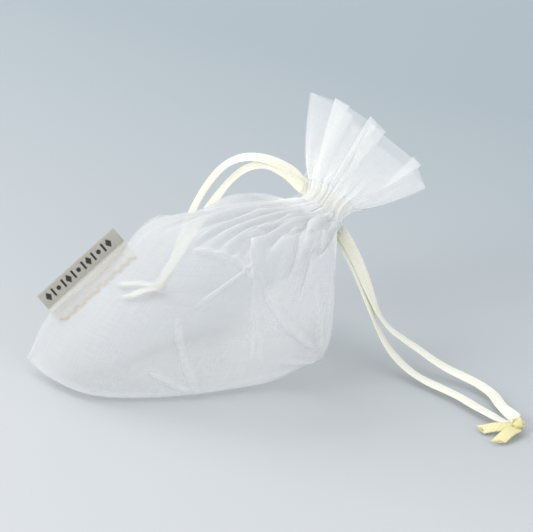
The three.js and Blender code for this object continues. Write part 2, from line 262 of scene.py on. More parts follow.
BILLOW_ACROSS, BILLOW_UP = (0.22, 0.2), (0.8, 0.17)  # middle and reach, as shares of the panel
BILLOW_FADE = 8.0  # how steeply the billow ends at the seam and at the gathers
FLARE_POWER = 0.72  # how soon the ruffle opens above the drawstring
TABLE_GAP = 0.3
ROUNDNESS = 0.94  # of the folds: 1 would be a sharp zigzag
SLOW_DRIFT, QUICK_DRIFT = (1.5, 1.7, 0.6), (0.9, 4.3, 0.0)  # how the pleats wander: size, turns, start
UNEVEN_MIDDLE, UNEVEN_SIZE, UNEVEN_TURNS = 0.75, 0.35, 2.6  # of the pleats' height across the pouch
COARSE_DRIFT, FRONT_START, BACK_START = 0.6, 0.4, -0.5
FOLD_CHANGE = 30.0  # millimetres from the drawstring over which pleats turn into wide folds
FOLD_CHANGE_POWER, FOLD_GROWTH = 1.2, 0.5
RADIAL_REACH = 12.0  # within this distance of the drawstring the pleats point outwards
PLEATS_START, PLEATS_RISE = 48.0, 36.0  # heights over which the pleats set in
PLEATS_END_POWER, SEAM_FLATNESS = 1.3, 6.0


def fold_wave(phase):
    """A rounded zigzag between -1 and 1."""
    return np.arcsin(ROUNDNESS * np.sin(phase)) / np.arcsin(ROUNDNESS)


def row_length(points):
    return np.linalg.norm(np.diff(points, axis=0), axis=-1).sum(axis=0)


def billow(s, t):
    """How much of the back's billow there is at a share across and up the panel."""
    across = np.exp(-(((s - BILLOW_ACROSS[0]) / BILLOW_ACROSS[1]) ** 2))
    up = np.exp(-(((t - BILLOW_UP[0]) / BILLOW_UP[1]) ** 2))
    return across * up * np.clip(s * BILLOW_FADE, 0, 1) * np.clip((1 - t) * BILLOW_FADE, 0, 1)


def gather_ring(turn, front, along):
    """The oval of gathers where the body or the ruffle begins."""
    return neck_point(
        -GATHER_RADIUS * np.cos(turn), front * GATHER_FLATNESS * GATHER_RADIUS * np.sin(turn), along
    )


def body_surface(s, t, turn, front):
    """A panel stretched between its seams and the gathers, swollen between them."""
    s3, t3 = s[..., None], t[..., None]
    body = (
        curve_at(LEFT_CURVE, t) * (1 - s3)
        + curve_at(RIGHT_CURVE, t) * s3
        + curve_at(BOTTOM_CURVE, s) * (1 - t3)
        + gather_ring(turn, front, -CASING_HALF) * t3
        - BOTTOM_CURVE[0] * (1 - s3) * (1 - t3)
        - BOTTOM_CURVE[-1] * s3 * (1 - t3)
        - LEFT_CURVE[-1] * (1 - s3) * t3
        - RIGHT_CURVE[-1] * s3 * t3
    )
    swell = FRONT_SWELL if front > 0 else BACK_SWELL
    fullness = FRONT_FULLNESS if front > 0 else BACK_FULLNESS
    across = np.clip(np.sin(np.pi * s3), 0, 1) ** fullness
    amount = across * np.clip(np.sin(np.pi * t3), 0, 1) ** RISE_FULLNESS
    body = body + swell * amount
    if front < 0:
        body = body + BACK_BILLOW * billow(s3, t3)
    body[..., 2] = np.maximum(body[..., 2], TABLE_GAP)
    return body


def neck_surface(turn, v, front):
    """The narrow waist under the drawstring's channel."""
    waist = (np.abs(v - GATHER_HEIGHT) / CASING_HALF).clip(0, 1) ** WAIST_POWER
    radius = NECK_MIDDLE + (GATHER_RADIUS - NECK_MIDDLE) * waist
    depth = radius * (1 - (1 - GATHER_FLATNESS) * waist)
    return neck_point(-radius * np.cos(turn), front * depth * np.sin(turn), v - GATHER_HEIGHT)


def ruffle_surface(s, turn, up, front):
    """The ruffle, ruled from the gathers to its free edge."""
    outline = FRONT_EDGE if front > 0 else BACK_EDGE
    edge = neck_point(*(np.interp(s, outline[:, 0], outline[:, k]) for k in (1, 2, 3)))
    foot = gather_ring(turn, front, CASING_HALF)
    rise = (edge - foot) @ MOUTH
    sweep = (edge - foot) - rise[..., None] * MOUTH
    return foot + sweep * (up**FLARE_POWER)[..., None] + (rise * up)[..., None] * MOUTH


def pleats(s, v, up, mean, heights, front):
    """How far the spare cloth of each row stands off the mean surface, in pleats near the neck."""
    lengths = row_length(mean)
    neck_length = lengths[np.argmin(np.abs(heights - GATHER_HEIGHT))]
    lengths = np.where(heights > GATHER_HEIGHT, neck_length, lengths)
    drift = 0
    for size, turns, start in (SLOW_DRIFT, QUICK_DRIFT):
        drift = drift + size * np.sin(2 * np.pi * s * turns + start + front)
    drift = drift * np.sin(np.pi * s)
    uneven = UNEVEN_MIDDLE + UNEVEN_SIZE * np.sin(2 * np.pi * s * UNEVEN_TURNS + 2 * front)
    fine = fold_wave(2 * np.pi * PLEATS * s + drift)
    coarse_start = FRONT_START if front > 0 else BACK_START
    coarse = fold_wave(2 * np.pi * RUFFLE_FOLDS * s + drift * COARSE_DRIFT + coarse_start)
    to_coarse = np.clip(np.abs(v - GATHER_HEIGHT) / FOLD_CHANGE, 0, 1) ** FOLD_CHANGE_POWER
    count = PLEATS * (1 - to_coarse) + RUFFLE_FOLDS * to_coarse
    leg = FLAT_WIDTH / (2 * count)
    advance = np.minimum(lengths, FLAT_WIDTH)[None, :] / (2 * count)
    height = np.sqrt(np.maximum(leg**2 - advance**2, 0)) / 2
    height = np.minimum(height, PLEAT_DEPTH * (1 + FOLD_GROWTH * to_coarse)) * uneven
    wave = fine * (1 - to_coarse) + coarse * to_coarse
    ends = np.clip(np.sin(np.pi * s) * SEAM_FLATNESS, 0, 1)
    low = np.clip((v - PLEATS_START) / PLEATS_RISE, 0, 1) * (1 - up) ** PLEATS_END_POWER
    return height * wave * ends * low


def first_shape():
    """The tube of cloth and its mean surface. Columns go round from the left seam, rows go up."""
    half = COLUMNS // 2
    heights = np.linspace(0, CLOTH_HEIGHT, ROWS)
    s = np.linspace(0, 1, half + 1)[:, None] * np.ones(ROWS)
    v = np.ones(half + 1)[:, None] * heights
    turn = np.pi * s
    ruffle_foot = GATHER_HEIGHT + CASING_HALF
    up = np.clip((v - GATHER_HEIGHT - CASING_HALF) / (CLOTH_HEIGHT - GATHER_HEIGHT - CASING_HALF), 0, 1)
    sides = []
    mean_sides = []
    for front in (1, -1):
        body = body_surface(s, np.clip(v / BODY_TOP, 0, 1), turn, front)
        above = np.where((v < ruffle_foot)[..., None], neck_surface(turn, v, front),
                         ruffle_surface(s, turn, up, front))
        mean = np.where((v < BODY_TOP)[..., None], body, above)
        normal = unit(np.cross(np.gradient(mean, axis=0), np.gradient(mean, axis=1))) * front
        radial = unit(neck_point(-np.cos(turn), front * np.sin(turn), 0) - NECK)
        near_neck = np.clip(1 - np.abs(v - GATHER_HEIGHT) / RADIAL_REACH, 0, 1)[..., None]
        direction = unit(normal * (1 - near_neck) + radial * near_neck)
        sides.append(mean + direction * pleats(s, v, up, mean, heights, front)[..., None])
        mean_sides.append(mean)
    tube, mean = (np.concatenate([a[:-1], b[::-1][:-1]], axis=0) for a, b in (sides, mean_sides))
    return tube, mean


TINY = 1e-9
STRETCH, SHEAR = 0.95, 0.35  # stiffness of the links along and across the weave
SHORT_LINK_EASE = 0.96  # a link shorter than its rest length hardly pushes, so spare cloth doesn't crumple
MOMENTUM = 0.9
LAST_GUIDE = 0.15  # share of the pull to the first shape that is left at the end
NORMALS_EVERY = 4  # steps
HEM_WEIGHT, SEAM_PULL = 0.05, 0.5
PINNED_HALF = 3.6  # rows this close to the drawstring don't move
LOOSE_TOP = 8.0  # the seams are let go this far below the body's top
CALM_TOP, CALM_REACH, LEAST_CALM = 99.0, 12.0, 0.15  # heights where smoothing fades out, and what is left
SHEET_GAP, GAP_TOP = 0.5, 12.0  # front and back stay apart, except this far below the body's top
LIFT_OFF = 0.25  # of the cloth from the table


def project(a, b, wa, wb, rest, stiffness, ease):
    """Moves two arrays of points towards their rest distance. ease is how far short links are let be."""
    d = b - a
    length = np.sqrt(np.einsum("...k,...k->...", d, d)) + TINY
    push = stiffness * (length - rest) / (length * (wa + wb + TINY))
    push = np.where(length < rest, push * (1 - ease), push)
    d *= push[..., None]
    a += wa[..., None] * d
    b -= wb[..., None] * d


def rows_of(array, dj, upper):
    """The rows that a link with row step dj starts from, or those that it ends in."""
    n = array.shape[1]
    if dj == 0:
        return array
    if dj > 0:
        return array[:, dj:] if upper else array[:, : n - dj]
    return array[:, : n + dj] if upper else array[:, -dj:]


def column_links(points, weight, di, dj, rest, stiffness, ease):
    """Every link from column i to column i + di, in batches that don't share a vertex. Columns wrap round."""
    columns = points.shape[0]

    def link(low, high, count=None):
        project(rows_of(points[low][:count], dj, False), rows_of(points[high], dj, True),
                rows_of(weight[low][:count], dj, False), rows_of(weight[high], dj, True),
                rest, stiffness, rows_of(ease[None], dj, False))

    block = 2 * di
    for first in range(block):
        count = len(points[first + di :: block])
        if count:
            link(slice(first, None, block), slice(first + di, None, block), count)
    for lane in range(di):
        link(slice(columns - di + lane, columns - di + lane + 1), slice(lane, lane + 1))


def row_links(points, weight, dj, rest, stiffness, ease):
    """Every link from row j to row j + dj, in batches."""
    block = 2 * dj
    for first in range(block):
        b = points[:, first + dj :: block]
        k = b.shape[1]
        if k == 0:
            continue
        a = points[:, first::block][:, :k]
        project(a, b, weight[:, first::block][:, :k], weight[:, first + dj :: block], rest, stiffness,
                ease[first::block][:k][None])


def normals_of(points):
    """Unit normals of the tube."""
    across = np.roll(points, -1, axis=0) - np.roll(points, 1, axis=0)
    up = np.gradient(points, axis=1)
    n = np.cross(across, up)
    return n / (np.linalg.norm(n, axis=-1, keepdims=True) + TINY)


def relax(points, mean, steps, guide, pressure, weight_pull, bend, smooth):
    """Lets the tube settle under its links, its pinned seams and gathers, air, weight and the table."""
    columns, rows = points.shape[:2]
    half = columns // 2
    wide = 2 * FLAT_WIDTH / columns
    tall = CLOTH_HEIGHT / (rows - 1)
    slant = math.hypot(wide, tall)
    heights = np.linspace(0, CLOTH_HEIGHT, rows)
    weight = np.ones((columns, rows), points.dtype)
    weight[:, np.abs(heights - GATHER_HEIGHT) <= PINNED_HALF] = 0
    weight[:, heights > GATHER_HEIGHT] = 0
    weight[:, 0] = HEM_WEIGHT
    body = (heights > 0) & (heights < BODY_TOP)
    seam_t = np.clip(heights / BODY_TOP, 0, 1)
    seam_rows = heights < BODY_TOP - LOOSE_TOP
    seams = [(0, LEFT_CURVE), (half, RIGHT_CURVE)]
    seams = [(column, curve_at(curve, seam_t).astype(points.dtype)[seam_rows]) for column, curve in seams]
    start = points.copy()
    previous = points.copy()
    inflate = np.clip(np.sin(np.pi * np.clip(heights / BODY_TOP, 0, 1)), 0, 1).astype(points.dtype)
    ease = np.full(rows, SHORT_LINK_EASE, points.dtype)
    no_ease = np.zeros(rows, points.dtype)
    calm = np.clip((CALM_TOP - heights) / CALM_REACH, LEAST_CALM, 1).astype(points.dtype)
    apart = unit(mean[1:half] - mean[: half : -1] + 1e-6).astype(points.dtype)
    for step in range(steps):
        speed = (points - previous) * MOMENTUM
        previous = points.copy()
        points = points + speed * weight[..., None]
        share = step / max(steps - 1, 1)
        if step % NORMALS_EVERY == 0:
            normal = normals_of(points)
        points[:, body] += (pressure * inflate[body])[None, :, None] * normal[:, body]
        points[:, body, 2] -= weight_pull
        pull = guide * (1 - share) + guide * LAST_GUIDE * share
        points[:, body] += pull * (start[:, body] - points[:, body])
        column_links(points, weight, 1, 0, wide, STRETCH, ease)
        row_links(points, weight, 1, tall, STRETCH, ease)
        column_links(points, weight, 1, 1, slant, SHEAR, ease)
        column_links(points, weight, 1, -1, slant, SHEAR, ease)
        column_links(points, weight, 2, 0, 2 * wide, bend, no_ease)
        row_links(points, weight, 2, 2 * tall, bend, no_ease)
        level = (np.roll(points, 1, 0) + np.roll(points, -1, 0)) / 2 - points
        level[:, 1:-1] += (points[:, 2:] + points[:, :-2]) / 2 - points[:, 1:-1]
        points += smooth * level * (weight * calm)[..., None]
        for column, target in seams:
            points[column, seam_rows] += SEAM_PULL * (target - points[column, seam_rows])
        points[:, 0] = start[:, 0]
        gap = ((points[1:half] - points[: half : -1]) * apart).sum(axis=-1)
        lack = np.clip(SHEET_GAP - gap, 0, None) * 0.5
        lack[:, heights > BODY_TOP - GAP_TOP] = 0
        lack[:, 0] = 0
        points[1:half] += lack[..., None] * apart
        points[: half : -1] -= lack[..., None] * apart
        np.maximum(points[..., 2], LIFT_OFF, out=points[..., 2])
    return points


def finer(points, axis):
    """Twice as many points along an axis, on a smooth curve through the old ones. Columns wrap round."""
    p = np.moveaxis(points, axis, 0)
    if axis == 0:
        a, b, c, d = np.roll(p, 1, 0), p, np.roll(p, -1, 0), np.roll(p, -2, 0)
    else:
        longer = np.concatenate([2 * p[:1] - p[1:2], p, 2 * p[-1:] - p[-2:-1]])
        a, b, c, d = longer[:-3], longer[1:-2], longer[2:-1], longer[3:]
    middle = (9 * (b + c) - a - d) / 16
    out = np.empty((len(p) + len(middle),) + p.shape[1:], p.dtype)
    out[0::2], out[1::2] = p, middle
    return np.moveaxis(out, 0, axis)


NOISE_SEED = 7


def soft_noise(shape, reach, size):
    """Random offsets that change smoothly over about reach grid steps."""
    noise = np.random.default_rng(NOISE_SEED).normal(0, 1, shape)
    for _ in range(reach):
        noise = (np.roll(noise, 1, 0) + 2 * noise + np.roll(noise, -1, 0)) / 4
        noise[:, 1:-1] = (noise[:, :-2] + 2 * noise[:, 1:-1] + noise[:, 2:]) / 4
    return (noise * size / noise.std()).astype(np.float32)


COARSE = dict(guide=0.02, pressure=0.004, weight_pull=0.002, bend=0.03, smooth=0.032)
FINE = dict(guide=0.01, pressure=0.003, weight_pull=0.002, bend=0.02, smooth=0.05)
COARSE_STEPS, FINE_STEPS = 400, 80
NOISE_REACH, NOISE_SIZE = 12, 0.7
NOISE_BOTTOM, NOISE_TOP = 4, 0.7  # first row, and the last as a share of the rows
CLEAN_SEAM_ROWS = 70


def settle_cloth():
    """The tube at rest, as (columns, rows, 3) in millimetres."""
    points, mean = first_shape()
    points = points.astype(np.float32)
    mean = mean.astype(np.float32)
    body_rows = slice(NOISE_BOTTOM, int(ROWS * NOISE_TOP))
    points[:, body_rows] += soft_noise(points.shape, NOISE_REACH, NOISE_SIZE)[:, body_rows]
    for seam in (0, COLUMNS // 2):
        points[seam, :CLEAN_SEAM_ROWS] = mean[seam, :CLEAN_SEAM_ROWS]
    points = relax(points, mean, COARSE_STEPS, **COARSE)
    for axis in (0, 1):
        points = finer(points, axis)
        mean = finer(mean, axis)
    return relax(points, mean, FINE_STEPS, **FINE)


# creases pressed into the front, as flat (across, up) points in millimetres, then height and width
SHARP_WIDTH = 2.0  # a crease this narrow is folded fully double
STEEP_FLANK = 3.0  # one side of a crease is this many times steeper than the other
CREASE_FADE, CREASE_END = 5.0, 0.15
FRONT_CREASES = [
    ([(58, 60), (64, 46), (69, 37), (74, 24), (78, 11)], 2.4, 3.4),
    ([(72, 36), (85, 24), (98, 12)], 1.7, 2.4),
    ([(94, 35), (99, 13)], 1.4, 2.0),
    ([(47, 26), (64, 1)], 1.5, 2.2),
    ([(47, 9), (63, 1)], 1.3, 2.0),
    ([(37, 48), (57, 45), (72, 36)], 1.2, 2.4),
    ([(52, 30), (66, 42)], 1.0, 2.0),
    ([(30, 92), (34, 72), (35, 52)], 1.2, 4.0),
    ([(46, 95), (51, 76), (55, 60)], 1.4, 4.0),
    ([(64, 94), (68, 76), (71, 62)], 1.3, 3.6),
    ([(82, 95), (85, 72), (87, 50)], 1.4, 4.2),
    ([(95, 92), (96, 70), (96, 45)], 1.2, 1.8),
    ([(88, 10), (95, 7), (101, 4)], 1.0, 2.4),
]


def crease(across, up, line, height, width):
    """A sharp ridge along a line, which fades towards the line's ends."""
    line = np.array(line, float)
    here = np.stack([across, up], -1)
    nearest = np.full(across.shape, np.inf)
    side = np.zeros(across.shape)
    share = np.zeros(across.shape)
    total = np.linalg.norm(np.diff(line, axis=0), axis=1).sum()
    run = 0.0
    for a, b in zip(line[:-1], line[1:]):
        ab = b - a
        length = np.linalg.norm(ab)
        t = np.clip(((here - a) @ ab) / length**2, 0, 1)
        off = here - (a + t[..., None] * ab)
        d = np.linalg.norm(off, axis=-1)
        closer = d < nearest
        nearest = np.where(closer, d, nearest)
        side = np.where(closer, np.sign(off[..., 0] * ab[1] - off[..., 1] * ab[0]), side)
        share = np.where(closer, (run + t * length) / total, share)
        run += length
    steep = np.where(side > 0, nearest * STEEP_FLANK, nearest)
    fade = np.clip(np.minimum(share, 1 - share) * CREASE_FADE + CREASE_END, 0, 1)
    return height * np.clip(1 - steep / width, 0, 1) * fade


def pressed(points):
    """The tube with its creases, and how much each point of the front is folded double, from 0 to 1."""
    columns, rows = points.shape[:2]
    half = columns // 2
    across = np.linspace(0, FLAT_WIDTH, half + 1)[:, None] * np.ones(rows)
    up = np.ones(half + 1)[:, None] * np.linspace(0, CLOTH_HEIGHT, rows)
    outward = normals_of(points)[: half + 1]
    toward_back = points[:half:-1] - points[1:half]
    if (outward[1:half] * toward_back).sum() > 0:
        outward = -outward
    folded = np.zeros(across.shape)
    for line, height, width in FRONT_CREASES:
        ridge = crease(across, up, line, height, width)
        points[: half + 1] += outward * ridge[..., None]
        folded = np.maximum(folded, ridge / height * min(1.0, SHARP_WIDTH / width))
    return points, folded


TUBE, FOLDED = pressed(settle_cloth())
TUBE_COLUMNS, TUBE_ROWS = TUBE.shape[:2]
HALF = TUBE_COLUMNS // 2
ROW_HEIGHTS = np.linspace(0, CLOTH_HEIGHT, TUBE_ROWS)


# ---- materials
class Nodes:
    """Short names for building a material's node tree."""

    def __init__(self, name):
        self.material = bpy.data.materials.new(name)
        self.material.use_nodes = True
        self.tree = self.material.node_tree
        self.tree.nodes.clear()

    def add(self, kind, **settings):
        node = self.tree.nodes.new("ShaderNode" + kind)
        for key, value in settings.items():
            setattr(node, key, value)
        return node

    def feed(self, node, values):
        """Sets a node's inputs, by name or number, to a value or another node's output."""
        for key, value in values.items():
            if isinstance(value, bpy.types.NodeSocket):
                self.tree.links.new(value, node.inputs[key])
            else:
                node.inputs[key].default_value = value
        return node

    def math(self, operation, a, b, clamp=False):
        node = self.add("Math", operation=operation, use_clamp=clamp)
        return self.feed(node, {0: a, 1: b}).outputs[0]

    def scaled_uv(self, scale=(1, 1, 1)):
        """Metres on the flat piece, times a scale."""
        uv = self.add("TexCoord").outputs["UV"]
        return self.feed(self.add("Mapping"), {"Vector": uv, "Scale": scale}).outputs["Vector"]

    def noise(self, scale, detail=2.0):
        values = {"Vector": self.scaled_uv(scale), "Scale": 1.0, "Detail": detail}
        return self.feed(self.add("TexNoise"), values).outputs["Fac"]

    def threads(self, scale, direction):
        node = self.add("TexWave", wave_type="BANDS", bands_direction=direction)
        values = {"Vector": self.scaled_uv(scale), "Scale": 1.0, "Distortion": 0.6, "Detail": 1.0}
        return self.feed(node, values).outputs["Fac"]

    def ramp(self, value, low, high, out_low, out_high):
        values = {"Value": value, "From Min": low, "From Max": high, "To Min": out_low, "To Max": out_high}
        return self.feed(self.add("MapRange"), values).outputs["Result"]

    def mix_colour(self, share, a, b):
        return self.feed(self.add("Mix", data_type="RGBA"), {0: share, 6: a, 7: b}).outputs[2]

    def separate(self, vector):
        return self.feed(self.add("SeparateXYZ"), {0: vector}).outputs

    def bump(self, height, strength, distance):
        values = {"Height": height, "Strength": strength, "Distance": distance}
        return self.feed(self.add("Bump"), values).outputs["Normal"]

    def turned_normal(self, normal, share, towards):
        mix = self.feed(self.add("Mix", data_type="VECTOR"), {0: share, 4: normal, 5: towards})
        return self.feed(self.add("VectorMath", operation="NORMALIZE"), {0: mix.outputs[1]}).outputs[0]

    def shader(self, kind, **values):
        """A shader with its inputs fed. _ stands for a space in an input's name."""
        values = {key.replace("_", " "): value for key, value in values.items()}
        return self.feed(self.add("Bsdf" + kind), values).outputs[0]

    def mix_shaders(self, share, a, b):
        return self.feed(self.add("MixShader"), {0: share, 1: a, 2: b}).outputs[0]

    def finished(self, shader):
        self.feed(self.add("OutputMaterial"), {0: shader})
        return self.material


# the cloth's look. Heights are metres from the bottom seam, densities are counted in layers of cloth
WEAVE = 1000  # threads to a metre
LEAST_SQUARE_ON = 0.33  # cloth seen at a flatter slant than this looks no denser
FOLD_LAYERS = 1.5  # added where the cloth is folded double
NECK_START, NECK_END, NECK_LAYERS = 0.009, 0.0004, 3.0  # below and above doubled_above
THIN_START, THIN_END, THIN_LAYERS = 0.108, 0.13, 0.4  # the ruffle thins out towards its edge
# painted light: the cloth's colour turns paler up towards the neck and palest in the gathers at the drawstring,
# lifting the shade that the pleats' many layers cast on each other
NECK_LIGHT_START, NECK_LIGHT_END, NECK_PAINTED_LIGHT = 0.082, 0.1, (0.92, 0.92, 0.915, 1)
GATHER_LIGHT_NEAR, GATHER_LIGHT_FAR, GATHER_PAINTED_LIGHT = 0.004, 0.014, (0.985, 0.985, 0.98, 1)  # from the drawstring
# round threads scatter light whichever way the cloth faces, so its shading leans up and forwards by a share
THREAD_SCATTER, SCATTER_DIRECTION = 0.2, (-0.1, -0.35, 0.9)
GLOW = 0.42  # share of light that passes through the threads
FINE_BUMP = 0.0002


def organza(name, cover, tint, doubled_above=None):
    """Sheer plain weave. cover is how much of the light one layer stops when it is seen square on."""
    n = Nodes(name)
    slub_across = n.noise((60, 2600, 1), 3.0)
    slub_up = n.noise((2600, 60, 1), 3.0)
    cloud = n.noise((45, 45, 45))
    weave = n.math("ADD", n.threads((0, WEAVE, 0), "Y"), n.threads((WEAVE, 0, 0), "X"))
    grain = n.math("ADD", n.math("ADD", slub_across, slub_up), n.math("MULTIPLY", weave, 0.35))
    thread_cover = n.ramp(grain, 0.9, 1.8, 0.88, 1.12)
    cloud_cover = n.ramp(cloud, 0.3, 0.7, 0.9, 1.1)
    base = n.math("MULTIPLY", n.math("MULTIPLY", thread_cover, cloud_cover), cover)
    gap = n.math("SUBTRACT", 1.0, base, clamp=True)
    slant = n.feed(n.add("LayerWeight"), {"Blend": 0.5}).outputs["Facing"]
    square_on = n.math("MAXIMUM", n.math("SUBTRACT", 1.0, slant), LEAST_SQUARE_ON)
    folded = n.add("Attribute", attribute_name="folded").outputs["Fac"]
    folds = n.math("ADD", n.math("MULTIPLY", folded, FOLD_LAYERS), 1.0)
    layers = n.math("MULTIPLY", n.math("DIVIDE", 1.0, square_on), folds)
    colour = tint
    if doubled_above is not None:
        height = n.separate(n.scaled_uv())["Y"]
        doubling = n.ramp(height, doubled_above - NECK_START, doubled_above + NECK_END, 1.0, NECK_LAYERS)
        layers = n.math("MULTIPLY", layers, doubling)
        layers = n.math("MULTIPLY", layers, n.ramp(height, THIN_START, THIN_END, 1.0, THIN_LAYERS))
        # painted light near the neck and, stronger, in the gathers
        colour = n.mix_colour(n.ramp(height, NECK_LIGHT_START, NECK_LIGHT_END, 0.0, 1.0), tint, NECK_PAINTED_LIGHT)
        from_drawstring = n.math("ABSOLUTE", n.math("SUBTRACT", height, GATHER_HEIGHT * MM), 0.0)
        painted_light_in_gathers = n.ramp(from_drawstring, GATHER_LIGHT_NEAR, GATHER_LIGHT_FAR, 1.0, 0.0)
        colour = n.mix_colour(painted_light_in_gathers, colour, GATHER_PAINTED_LIGHT)
    alpha = n.math("SUBTRACT", 1.0, n.math("POWER", gap, layers), clamp=True)
    normal = n.turned_normal(n.bump(grain, 0.25, FINE_BUMP), THREAD_SCATTER, SCATTER_DIRECTION)
    surface = n.shader("Principled", Base_Color=colour, Roughness=0.42, Specular_IOR_Level=0.35,
                       Sheen_Weight=0.25, Sheen_Roughness=0.4, Normal=normal)
    glow = n.shader("Translucent", Color=colour, Normal=normal)
    cloth = n.mix_shaders(GLOW, surface, glow)
    return n.finished(n.mix_shaders(alpha, n.shader("Transparent"), cloth))


def satin(name, colour, deep):
    """Satin ribbon: fine ribs across it and threads along it, with a painted shade that deepens its colour over
    the first few centimetres of each piece, meant for where the strands come out of the channel.
    """
    n = Nodes(name)
    ribs = n.threads((260, 440, 0), "DIAGONAL")
    fibres = n.noise((6000, 220, 1))
    cloud = n.noise((120, 120, 1))
    height = n.math("ADD", n.math("MULTIPLY", ribs, 0.6), fibres)
    cloudy = n.math("ADD", cloud, n.math("MULTIPLY", fibres, 0.4))
    mottle = n.math("ADD", cloudy, n.math("MULTIPLY", ribs, 0.42))
    # painted shade: the deep colour is mixed in over the first 4 to 30 mm along each ribbon piece
    channel_painted_shade = n.ramp(n.separate(n.scaled_uv())["Y"], 0.004, 0.03, 0.4, 0.0)
    light_share = n.math("SUBTRACT", n.ramp(mottle, 0.5, 1.3, 0.0, 1.0), channel_painted_shade, clamp=True)
    surface = n.shader("Principled", Base_Color=n.mix_colour(light_share, deep, colour), Sheen_Weight=0.2,
                       Roughness=n.ramp(fibres, 0.3, 0.7, 0.3, 0.46), Anisotropic=0.5,
                       Normal=n.bump(height, 0.6, FINE_BUMP))
    return n.finished(n.mix_shaders(0.3, surface, n.shader("Translucent", Color=colour)))


def tape(name, colour, dark):
    """Woven label tape: a coarse cross weave."""
    n = Nodes(name)
    crossing = n.math("MULTIPLY", n.threads((0, 620, 0), "Y"), n.threads((620, 0, 0), "X"))
    weave = n.math("ADD", crossing, n.math("MULTIPLY", n.noise((1500, 1500, 1), 3.0), 0.6))
    shade = n.mix_colour(n.ramp(weave, 0.2, 0.9, 0.0, 1.0), dark, colour)
    return n.finished(n.shader("Principled", Base_Color=shade, Roughness=0.75, Sheen_Weight=0.15,
                               Normal=n.bump(weave, 0.5, 0.0003)))


def thread(name, colour, dark):
    """Twisted sewing thread."""
    n = Nodes(name)
    twist = n.noise((900, 5200, 1))
    shade = n.mix_colour(n.ramp(twist, 0.35, 0.65, 0.0, 1.0), dark, colour)
    return n.finished(n.shader("Principled", Base_Color=shade, Roughness=0.6,
                               Normal=n.bump(twist, 0.4, FINE_BUMP)))


ORGANZA = organza("organza", 0.265, (0.765, 0.77, 0.775, 1), doubled_above=0.0975)
SEAM_CLOTH = organza("organza_seam", 0.13, (0.86, 0.865, 0.87, 1))
SATIN = satin("satin", (0.95, 0.95, 0.9, 1), (0.92, 0.89, 0.72, 1))
SATIN_DEEP = satin("satin_deep", (0.93, 0.9, 0.66, 1), (0.88, 0.8, 0.42, 1))
TAPE = tape("label_tape", (0.50, 0.49, 0.44, 1), (0.30, 0.29, 0.25, 1))
SEWN_TAPE = tape("label_tape_sewn", (0.74, 0.73, 0.69, 1), (0.58, 0.56, 0.5, 1))
TAN_THREAD = thread("label_thread", (0.62, 0.43, 0.2, 1), (0.42, 0.27, 0.1, 1))
WHITE_THREAD = thread("white_thread", (0.9, 0.91, 0.92, 1), (0.7, 0.72, 0.74, 1))
INK = thread("label_ink", (0.02, 0.02, 0.022, 1), (0.01, 0.01, 0.01, 1))


# ---- the cloth
def cloth_object(name, columns, nodes):
    """One half of the tube as a single sheet, laid out flat in its UV map."""
    grid = TUBE[columns]
    wide, tall = grid.shape[:2]
    faces = [
        (i * tall + j, (i + 1) * tall + j, (i + 1) * tall + j + 1, i * tall + j + 1)
        for i in range(wide - 1)
        for j in range(tall - 1)
    ]
    u = np.linspace(0, FLAT_WIDTH, wide)[:, None] * np.ones(tall)
    v = ROW_HEIGHTS[None, :] * np.ones(wide)[:, None]
    obj = mesh_object(name, grid.reshape(-1, 3), faces, np.stack([u, v], -1).reshape(-1, 2), ORGANZA)
    return stands_for(obj, nodes)


FRONT_COLUMNS = np.arange(0, HALF + 1)
BACK_COLUMNS = np.arange(HALF, TUBE_COLUMNS + 1) % TUBE_COLUMNS
front_cloth = cloth_object("front_cloth", FRONT_COLUMNS, ("front_panel", "front_casing", "front_ruffle"))
back_cloth = cloth_object("back_cloth", BACK_COLUMNS, ("back_panel", "back_casing", "back_ruffle"))
layer = front_cloth.data.attributes.new("folded", "FLOAT", "POINT")
layer.data.foreach_set("value", FOLDED.astype(np.float32).ravel())


# ---- seams
SEAM_EDGE, SEAM_THICKNESS = 0.3, 0.09  # the band starts this far outside its line
SEAM_AROUND = np.array([0, 0.2, 1.6, 3, 3.1, 4.6, 6.0])  # flat places of the section's points
LINE_SMOOTHING, INWARD_SMOOTHING = 2, 60
SEAM_WIDTH, HEM_WIDTH = 1.8, 2.0
SEAM_REACH = 5  # columns or rows from a seam, to see which way is inwards


def smooth_rows(a, times):
    a = np.array(a, float)
    for _ in range(times):
        a[1:-1] = (a[:-2] + 2 * a[1:-1] + a[2:]) / 4
    return a


def seam_object(name, line, inward, nodes, width=SEAM_WIDTH, body=None):
    """A folded seam allowance: a thin band from its line inwards."""
    line = smooth_rows(line, LINE_SMOOTHING)
    tangent = unit(np.gradient(line, axis=0))
    inward = square_to(smooth_rows(unit(inward), INWARD_SMOOTHING), tangent)
    edge, thick = -SEAM_EDGE, SEAM_THICKNESS
    section = np.array([
        (edge, 0.0), (edge * 0.5, thick), (width * 0.5, thick * 0.8), (width, thick * 0.5),
        (width, -thick * 0.5), (width * 0.5, -thick * 0.8), (edge * 0.5, -thick),
    ])
    vertices, faces = swept(line, inward, np.cross(tangent, inward), section)
    uv = unrolled(run_along(line), SEAM_AROUND)
    return stands_for(mesh_object(name, vertices, faces, uv, SEAM_CLOTH), nodes, body)


def side_seam(name, column, nodes):
    line = TUBE[column]
    inner = (TUBE[(column + SEAM_REACH) % TUBE_COLUMNS] + TUBE[column - SEAM_REACH]) / 2
    return seam_object(name, line, inner - line, nodes)


